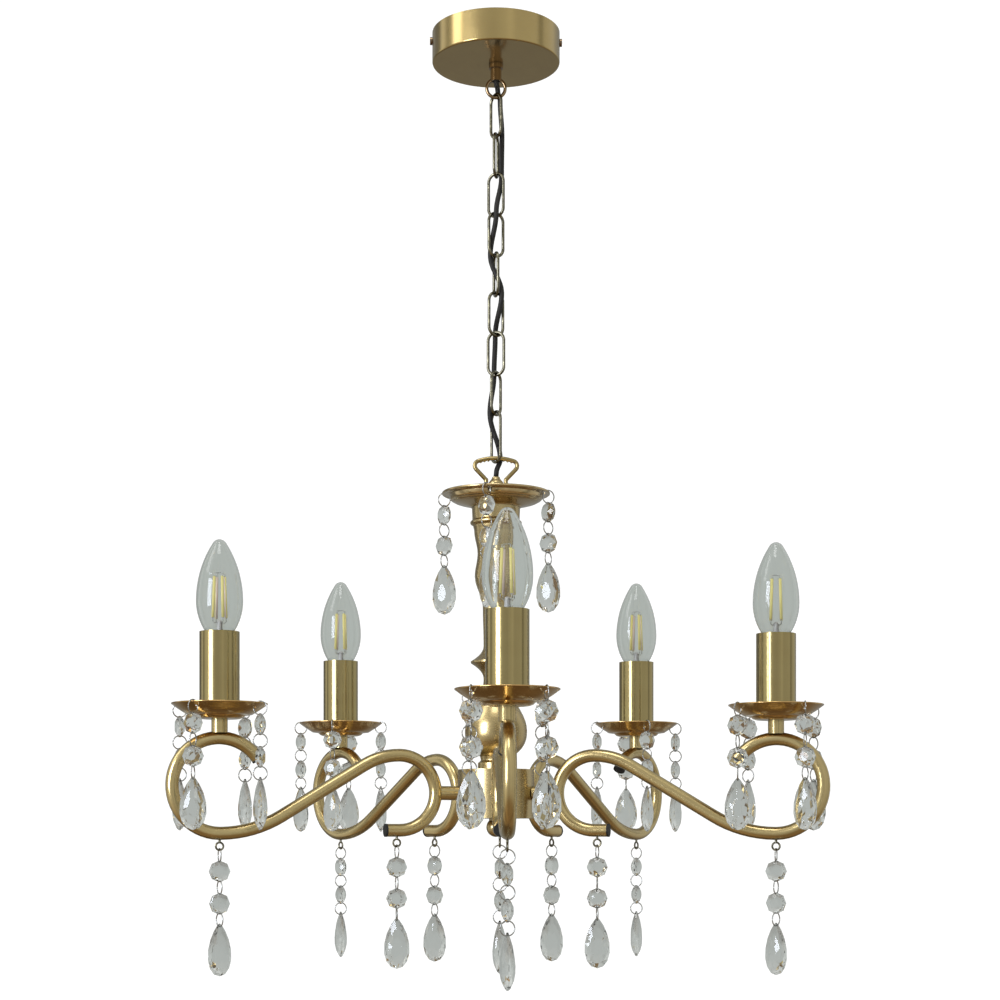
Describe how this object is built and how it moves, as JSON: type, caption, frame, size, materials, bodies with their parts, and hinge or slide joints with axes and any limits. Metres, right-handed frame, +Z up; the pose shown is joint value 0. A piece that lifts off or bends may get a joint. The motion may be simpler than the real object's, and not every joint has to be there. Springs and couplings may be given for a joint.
{
  "type": "candle chandelier",
  "caption": "Brass candle chandelier with scrolled arms, drip pans, clear candle bulbs and crystal strands, hung on a link chain from a round ceiling canopy.",
  "frame": {"origin": "centre of the ceiling plane, on the vertical axis of the canopy and column", "axes": "+Z up, the light hangs below zero; -Y towards the front arm; +X to the right as seen from the front"},
  "size_m": [0.4981, 0.4796, 0.7352],
  "materials": {
    "plated_steel": "zinc-plated, dull",
    "antique_brass": "brushed antique brass lacquer",
    "dark_bronze": "dark antique bronze, worn bright on the edges",
    "copper_brass": "satin antique brass with a coppery cast",
    "white_plastic": "moulded, matt",
    "cord_jacket": "smooth dark cord jacket",
    "black_plastic": "moulded, matt",
    "bulb_glass": "clear",
    "crystal": "clear, cut facets, on chromed rings"
  },
  "bodies": {
    "ceiling_rose": {"ceiling_bracket": "plated_steel", "canopy": "antique_brass", "canopy_fixings": "antique_brass", "hang_loop": "antique_brass", "supply_connector": "white_plastic"},
    "chain": {"chain_links": "dark_bronze", "supply_cord": "cord_jacket"},
    "fixture": {"stirrup": "antique_brass", "assembly_nuts": "antique_brass", "crown_dish": "copper_brass", "column": "antique_brass", "centre_tube": "plated_steel", "hub": "antique_brass", "arms": "antique_brass", "arm_end_plugs": "black_plastic", "eyelets": "dark_bronze", "drip_pans": "copper_brass", "candle_necks": "antique_brass", "lampholders": "white_plastic", "candle_sleeves": "antique_brass", "lamp_wires": "white_plastic"},
    "bulb_front": {"bulb_front": "bulb_glass"},
    "bulb_right": {"bulb_right": "bulb_glass"},
    "bulb_back_right": {"bulb_back_right": "bulb_glass"},
    "bulb_back_left": {"bulb_back_left": "bulb_glass"},
    "bulb_left": {"bulb_left": "bulb_glass"},
    "dish_strand_right": {"dish_strand_right": "crystal"},
    "dish_strand_back": {"dish_strand_back": "crystal"},
    "dish_strand_left": {"dish_strand_left": "crystal"},
    "dish_strand_front": {"dish_strand_front": "crystal"},
    "pan_strand_front_1": {"pan_strand_front_1": "crystal"},
    "pan_strand_front_2": {"pan_strand_front_2": "crystal"},
    "pan_strand_front_3": {"pan_strand_front_3": "crystal"},
    "pan_strand_front_4": {"pan_strand_front_4": "crystal"},
    "pan_strand_right_1": {"pan_strand_right_1": "crystal"},
    "pan_strand_right_2": {"pan_strand_right_2": "crystal"},
    "pan_strand_right_3": {"pan_strand_right_3": "crystal"},
    "pan_strand_right_4": {"pan_strand_right_4": "crystal"},
    "pan_strand_back_right_1": {"pan_strand_back_right_1": "crystal"},
    "pan_strand_back_right_2": {"pan_strand_back_right_2": "crystal"},
    "pan_strand_back_right_3": {"pan_strand_back_right_3": "crystal"},
    "pan_strand_back_right_4": {"pan_strand_back_right_4": "crystal"},
    "pan_strand_back_left_1": {"pan_strand_back_left_1": "crystal"},
    "pan_strand_back_left_2": {"pan_strand_back_left_2": "crystal"},
    "pan_strand_back_left_3": {"pan_strand_back_left_3": "crystal"},
    "pan_strand_back_left_4": {"pan_strand_back_left_4": "crystal"},
    "pan_strand_left_1": {"pan_strand_left_1": "crystal"},
    "pan_strand_left_2": {"pan_strand_left_2": "crystal"},
    "pan_strand_left_3": {"pan_strand_left_3": "crystal"},
    "pan_strand_left_4": {"pan_strand_left_4": "crystal"},
    "outer_strand_front": {"outer_strand_front": "crystal"},
    "outer_strand_right": {"outer_strand_right": "crystal"},
    "outer_strand_back_right": {"outer_strand_back_right": "crystal"},
    "outer_strand_back_left": {"outer_strand_back_left": "crystal"},
    "outer_strand_left": {"outer_strand_left": "crystal"},
    "inner_strand_front": {"inner_strand_front": "crystal"},
    "inner_strand_right": {"inner_strand_right": "crystal"},
    "inner_strand_back_right": {"inner_strand_back_right": "crystal"},
    "inner_strand_back_left": {"inner_strand_back_left": "crystal"},
    "inner_strand_left": {"inner_strand_left": "crystal"}
  },
  "joints": [
    {"name": "chain_swing", "type": "hinge", "parent": "ceiling_rose", "child": "chain", "pos_m": [0, 0, -0.0502], "axis": [1, 0, 0], "range_deg": [-20, 20]},
    {"name": "fixture_swing", "type": "hinge", "parent": "chain", "child": "fixture", "pos_m": [0, 0, -0.33645], "axis": [0, 1, 0], "range_deg": [-10, 10]},
    {"name": "bulb_front_slide", "type": "slide", "parent": "fixture", "child": "bulb_front", "axis": [0, 0, 1], "range_m": [0, 0.035]},
    {"name": "bulb_right_slide", "type": "slide", "parent": "fixture", "child": "bulb_right", "axis": [0, 0, 1], "range_m": [0, 0.035]},
    {"name": "bulb_back_right_slide", "type": "slide", "parent": "fixture", "child": "bulb_back_right", "axis": [0, 0, 1], "range_m": [0, 0.035]},
    {"name": "bulb_back_left_slide", "type": "slide", "parent": "fixture", "child": "bulb_back_left", "axis": [0, 0, 1], "range_m": [0, 0.035]},
    {"name": "bulb_left_slide", "type": "slide", "parent": "fixture", "child": "bulb_left", "axis": [0, 0, 1], "range_m": [0, 0.035]},
    {"name": "strand_dish_right_swing", "type": "hinge", "parent": "fixture", "child": "dish_strand_right", "pos_m": [0.04059, -0.00863, -0.3613], "axis": [-0.2079, -0.9781, 0], "range_deg": [-5, 8]},
    {"name": "strand_dish_back_swing", "type": "hinge", "parent": "fixture", "child": "dish_strand_back", "pos_m": [0.00863, 0.04059, -0.3613], "axis": [0.9781, -0.2079, 0], "range_deg": [-5, 8]},
    {"name": "strand_dish_left_swing", "type": "hinge", "parent": "fixture", "child": "dish_strand_left", "pos_m": [-0.04059, 0.00863, -0.3613], "axis": [0.2079, 0.9781, 0], "range_deg": [-5, 8]},
    {"name": "strand_dish_front_swing", "type": "hinge", "parent": "fixture", "child": "dish_strand_front", "pos_m": [-0.00863, -0.04059, -0.3613], "axis": [-0.9781, 0.2079, 0], "range_deg": [-5, 8]},
    {"name": "strand_pan_front_1_swing", "type": "hinge", "parent": "fixture", "child": "pan_strand_front_1", "pos_m": [0.0251, -0.2451, -0.5314], "axis": [-0.7071, -0.7071, 0], "range_deg": [-5, 12]},
    {"name": "strand_pan_front_2_swing", "type": "hinge", "parent": "fixture", "child": "pan_strand_front_2", "pos_m": [0.0251, -0.1949, -0.5314], "axis": [0.7071, -0.7071, 0], "range_deg": [-5, 12]},
    {"name": "strand_pan_front_3_swing", "type": "hinge", "parent": "fixture", "child": "pan_strand_front_3", "pos_m": [-0.0251, -0.1949, -0.5314], "axis": [0.7071, 0.7071, 0], "range_deg": [-5, 12]},
    {"name": "strand_pan_front_4_swing", "type": "hinge", "parent": "fixture", "child": "pan_strand_front_4", "pos_m": [-0.0251, -0.2451, -0.5314], "axis": [-0.7071, 0.7071, 0], "range_deg": [-5, 12]},
    {"name": "strand_pan_right_1_swing", "type": "hinge", "parent": "fixture", "child": "pan_strand_right_1", "pos_m": [0.24086, -0.05187, -0.5314], "axis": [0.454, -0.891, 0], "range_deg": [-5, 12]},
    {"name": "strand_pan_right_2_swing", "type": "hinge", "parent": "fixture", "child": "pan_strand_right_2", "pos_m": [0.19312, -0.03635, -0.5314], "axis": [0.891, 0.454, 0], "range_deg": [-5, 12]},
    {"name": "strand_pan_right_3_swing", "type": "hinge", "parent": "fixture", "child": "pan_strand_right_3", "pos_m": [0.1776, -0.0841, -0.5314], "axis": [-0.454, 0.891, 0], "range_deg": [-5, 12]},
    {"name": "strand_pan_right_4_swing", "type": "hinge", "parent": "fixture", "child": "pan_strand_right_4", "pos_m": [0.22535, -0.09961, -0.5314], "axis": [-0.891, -0.454, 0], "range_deg": [-5, 12]},
    {"name": "strand_pan_back_right_1_swing", "type": "hinge", "parent": "fixture", "child": "pan_strand_back_right_1", "pos_m": [0.12376, 0.21305, -0.5314], "axis": [0.9877, 0.1564, 0], "range_deg": [-5, 12]},
    {"name": "strand_pan_back_right_2_swing", "type": "hinge", "parent": "fixture", "child": "pan_strand_back_right_2", "pos_m": [0.09425, 0.17243, -0.5314], "axis": [-0.1564, 0.9877, 0], "range_deg": [-5, 12]},
    {"name": "strand_pan_back_right_3_swing", "type": "hinge", "parent": "fixture", "child": "pan_strand_back_right_3", "pos_m": [0.13487, 0.14292, -0.5314], "axis": [-0.9877, -0.1564, 0], "range_deg": [-5, 12]},
    {"name": "strand_pan_back_right_4_swing", "type": "hinge", "parent": "fixture", "child": "pan_strand_back_right_4", "pos_m": [0.16438, 0.18354, -0.5314], "axis": [0.1564, -0.9877, 0], "range_deg": [-5, 12]},
    {"name": "strand_pan_back_left_1_swing", "type": "hinge", "parent": "fixture", "child": "pan_strand_back_left_1", "pos_m": [-0.16438, 0.18354, -0.5314], "axis": [0.1564, 0.9877, 0], "range_deg": [-5, 12]},
    {"name": "strand_pan_back_left_2_swing", "type": "hinge", "parent": "fixture", "child": "pan_strand_back_left_2", "pos_m": [-0.13487, 0.14292, -0.5314], "axis": [-0.9877, 0.1564, 0], "range_deg": [-5, 12]},
    {"name": "strand_pan_back_left_3_swing", "type": "hinge", "parent": "fixture", "child": "pan_strand_back_left_3", "pos_m": [-0.09425, 0.17243, -0.5314], "axis": [-0.1564, -0.9877, 0], "range_deg": [-5, 12]},
    {"name": "strand_pan_back_left_4_swing", "type": "hinge", "parent": "fixture", "child": "pan_strand_back_left_4", "pos_m": [-0.12376, 0.21305, -0.5314], "axis": [0.9877, -0.1564, 0], "range_deg": [-5, 12]},
    {"name": "strand_pan_left_1_swing", "type": "hinge", "parent": "fixture", "child": "pan_strand_left_1", "pos_m": [-0.22535, -0.09961, -0.5314], "axis": [-0.891, 0.454, 0], "range_deg": [-5, 12]},
    {"name": "strand_pan_left_2_swing", "type": "hinge", "parent": "fixture", "child": "pan_strand_left_2", "pos_m": [-0.1776, -0.0841, -0.5314], "axis": [-0.454, -0.891, 0], "range_deg": [-5, 12]},
    {"name": "strand_pan_left_3_swing", "type": "hinge", "parent": "fixture", "child": "pan_strand_left_3", "pos_m": [-0.19312, -0.03635, -0.5314], "axis": [0.891, -0.454, 0], "range_deg": [-5, 12]},
    {"name": "strand_pan_left_4_swing", "type": "hinge", "parent": "fixture", "child": "pan_strand_left_4", "pos_m": [-0.24086, -0.05187, -0.5314], "axis": [0.454, 0.891, 0], "range_deg": [-5, 12]},
    {"name": "strand_outer_front_swing", "type": "hinge", "parent": "fixture", "child": "outer_strand_front", "pos_m": [0, -0.22, -0.64085], "axis": [0, -1, 0], "range_deg": [-25, 25]},
    {"name": "strand_outer_right_swing", "type": "hinge", "parent": "fixture", "child": "outer_strand_right", "pos_m": [0.20923, -0.06798, -0.64085], "axis": [0.9511, -0.309, 0], "range_deg": [-25, 25]},
    {"name": "strand_outer_back_right_swing", "type": "hinge", "parent": "fixture", "child": "outer_strand_back_right", "pos_m": [0.12931, 0.17798, -0.64085], "axis": [0.5878, 0.809, 0], "range_deg": [-25, 25]},
    {"name": "strand_outer_back_left_swing", "type": "hinge", "parent": "fixture", "child": "outer_strand_back_left", "pos_m": [-0.12931, 0.17798, -0.64085], "axis": [-0.5878, 0.809, 0], "range_deg": [-25, 25]},
    {"name": "strand_outer_left_swing", "type": "hinge", "parent": "fixture", "child": "outer_strand_left", "pos_m": [-0.20923, -0.06798, -0.64085], "axis": [-0.9511, -0.309, 0], "range_deg": [-25, 25]},
    {"name": "strand_inner_front_swing", "type": "hinge", "parent": "fixture", "child": "inner_strand_front", "pos_m": [0, -0.0815, -0.63835], "axis": [0, -1, 0], "range_deg": [-25, 25]},
    {"name": "strand_inner_right_swing", "type": "hinge", "parent": "fixture", "child": "inner_strand_right", "pos_m": [0.07751, -0.02518, -0.63835], "axis": [0.9511, -0.309, 0], "range_deg": [-25, 25]},
    {"name": "strand_inner_back_right_swing", "type": "hinge", "parent": "fixture", "child": "inner_strand_back_right", "pos_m": [0.0479, 0.06593, -0.63835], "axis": [0.5878, 0.809, 0], "range_deg": [-25, 25]},
    {"name": "strand_inner_back_left_swing", "type": "hinge", "parent": "fixture", "child": "inner_strand_back_left", "pos_m": [-0.0479, 0.06593, -0.63835], "axis": [-0.5878, 0.809, 0], "range_deg": [-25, 25]},
    {"name": "strand_inner_left_swing", "type": "hinge", "parent": "fixture", "child": "inner_strand_left", "pos_m": [-0.07751, -0.02518, -0.63835], "axis": [-0.9511, -0.309, 0], "range_deg": [-25, 25]}
  ]
}
